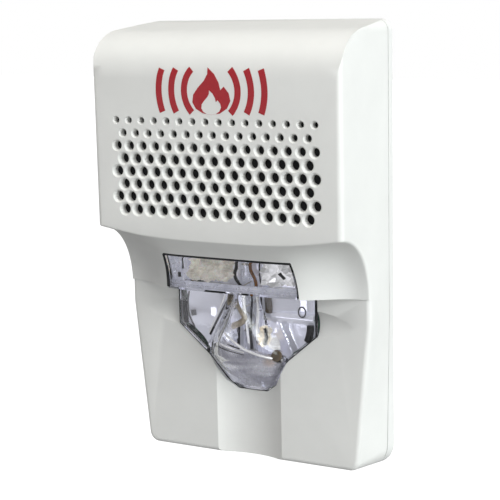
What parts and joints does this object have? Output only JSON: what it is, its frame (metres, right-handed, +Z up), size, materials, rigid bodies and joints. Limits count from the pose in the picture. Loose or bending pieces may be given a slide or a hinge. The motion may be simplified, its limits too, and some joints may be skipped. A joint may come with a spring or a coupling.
{
  "type": "horn strobe",
  "caption": "Wall-mounted fire alarm horn strobe: off-white moulded cover with a sound grille and a clear strobe lens under a hood, on a one-gang wall plate.",
  "frame": {"origin": "middle of the back face, on the wall plane, midway between the two box screws", "axes": "+Z up, +X to the right as seen from the room, +Y into the wall"},
  "size_m": [0.07, 0.0289, 0.114],
  "materials": {
    "cover_plastic": "fine satin texture",
    "plate_plastic": "satin",
    "terminal_plastic": "satin",
    "zinc_plated_steel": "zinc plated",
    "spring_bronze": "bright",
    "gold_pad": "bright",
    "black_mesh": "woven",
    "black_plastic": "satin",
    "silicone_rubber": "matte",
    "disc_brass": "satin",
    "piezo_ceramic": "matte",
    "clear_lens": "clear moulded polycarbonate",
    "metallised_plastic": "vacuum metallised",
    "tube_glass": "clear",
    "tube_metal": "bright",
    "tan_rubber": "matte",
    "amber_wire": "varnished",
    "board_laminate": "solder mask",
    "screw_steel": "zinc plated",
    "capacitor_sleeve": "shrunk sleeve",
    "transformer_case": "potted",
    "ferrite": "matte",
    "copper_wire": "enamelled",
    "component_black": "moulded",
    "smd_ceramic": "fired",
    "switch_plastic": "satin",
    "slider_plastic": "satin",
    "jumper_plastic": "satin"
  },
  "bodies": {
    "wall_plate": {"base_plate": "plate_plastic", "terminal_block": "terminal_plastic", "terminal_clamps": "zinc_plated_steel", "contact_springs": "spring_bronze"},
    "front_unit": {"front_cover": "cover_plastic", "acoustic_mesh": "black_mesh", "horn_housing": "black_plastic", "horn_ring": "silicone_rubber", "piezo_disc": "disc_brass", "piezo_ceramic": "piezo_ceramic", "strobe_lens": "clear_lens", "reflector": "metallised_plastic", "flash_tube": "tube_glass", "tube_caps": "tube_metal", "tube_boot": "tan_rubber", "trigger_wire": "amber_wire", "circuit_board": "board_laminate", "board_screws": "screw_steel", "contact_pads": "gold_pad", "flash_capacitor": "capacitor_sleeve", "trigger_transformer": "transformer_case", "choke_core": "ferrite", "choke_winding": "copper_wire", "filter_capacitors": "capacitor_sleeve", "switching_transistor": "component_black", "rectifier_diodes": "component_black", "controller_chip": "component_black", "smd_parts": "smd_ceramic", "candela_switch": "switch_plastic", "volume_header": "component_black", "header_pins": "gold_pad"},
    "candela_slider": {"candela_slider": "slider_plastic"},
    "volume_jumper": {"volume_jumper": "jumper_plastic"},
    "terminal_screw_1": {"terminal_screw_1": "screw_steel"},
    "terminal_screw_2": {"terminal_screw_2": "screw_steel"},
    "terminal_screw_3": {"terminal_screw_3": "screw_steel"},
    "terminal_screw_4": {"terminal_screw_4": "screw_steel"}
  },
  "joints": [
    {"name": "front_unit_tilt", "type": "hinge", "parent": "wall_plate", "child": "front_unit", "pos_m": [0, -0.0027, 0.0565], "axis": [-1, 0, 0], "range_deg": [0, 10]},
    {"name": "candela_slide", "type": "slide", "parent": "front_unit", "child": "candela_slider", "axis": [1, 0, 0], "range_m": [-0.002, 0.004]},
    {"name": "volume_jumper_pull", "type": "slide", "parent": "front_unit", "child": "volume_jumper", "axis": [0, 1, 0], "range_m": [0, 0.003]},
    {"name": "terminal_screw_1_turn", "type": "hinge", "parent": "wall_plate", "child": "terminal_screw_1", "pos_m": [-0.01143, -0.0075, 0.0175], "axis": [0, 1, 0], "continuous": true},
    {"name": "terminal_screw_2_turn", "type": "hinge", "parent": "wall_plate", "child": "terminal_screw_2", "pos_m": [-0.00381, -0.0075, 0.0175], "axis": [0, 1, 0], "continuous": true},
    {"name": "terminal_screw_3_turn", "type": "hinge", "parent": "wall_plate", "child": "terminal_screw_3", "pos_m": [0.00381, -0.0075, 0.0175], "axis": [0, 1, 0], "continuous": true},
    {"name": "terminal_screw_4_turn", "type": "hinge", "parent": "wall_plate", "child": "terminal_screw_4", "pos_m": [0.01143, -0.0075, 0.0175], "axis": [0, 1, 0], "continuous": true}
  ]
}
